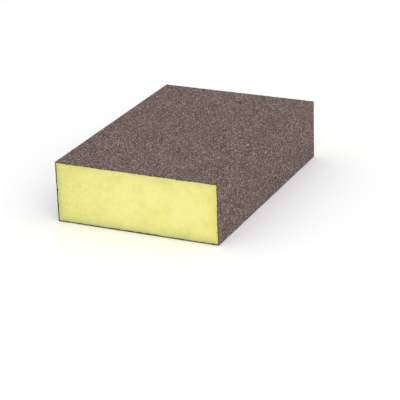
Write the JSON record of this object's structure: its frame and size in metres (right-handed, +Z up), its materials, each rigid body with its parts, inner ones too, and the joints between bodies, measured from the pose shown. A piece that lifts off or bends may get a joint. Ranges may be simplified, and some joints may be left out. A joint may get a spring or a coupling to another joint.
{
  "type": "sanding block",
  "caption": "Rectangular sanding block: firm foam core with abrasive grit bonded to its long faces and bare foam at both ends.",
  "frame": {"origin": "middle of the bottom abrasive face, on the surface the block lies on", "axes": "+Z up through the block's thickness, +Y along its length towards the back foam end, +X across its width"},
  "size_m": [0.0698, 0.1016, 0.0254],
  "materials": {
    "foam": "matte",
    "make_coat_resin": "matte",
    "abrasive_grit": "matte"
  },
  "bodies": {
    "root": {"foam_core": "foam", "top_make_coat": "make_coat_resin", "top_grit_coat": "abrasive_grit", "bottom_make_coat": "make_coat_resin", "bottom_grit_coat": "abrasive_grit", "right_make_coat": "make_coat_resin", "right_grit_coat": "abrasive_grit", "left_make_coat": "make_coat_resin", "left_grit_coat": "abrasive_grit"}
  },
  "joints": []
}
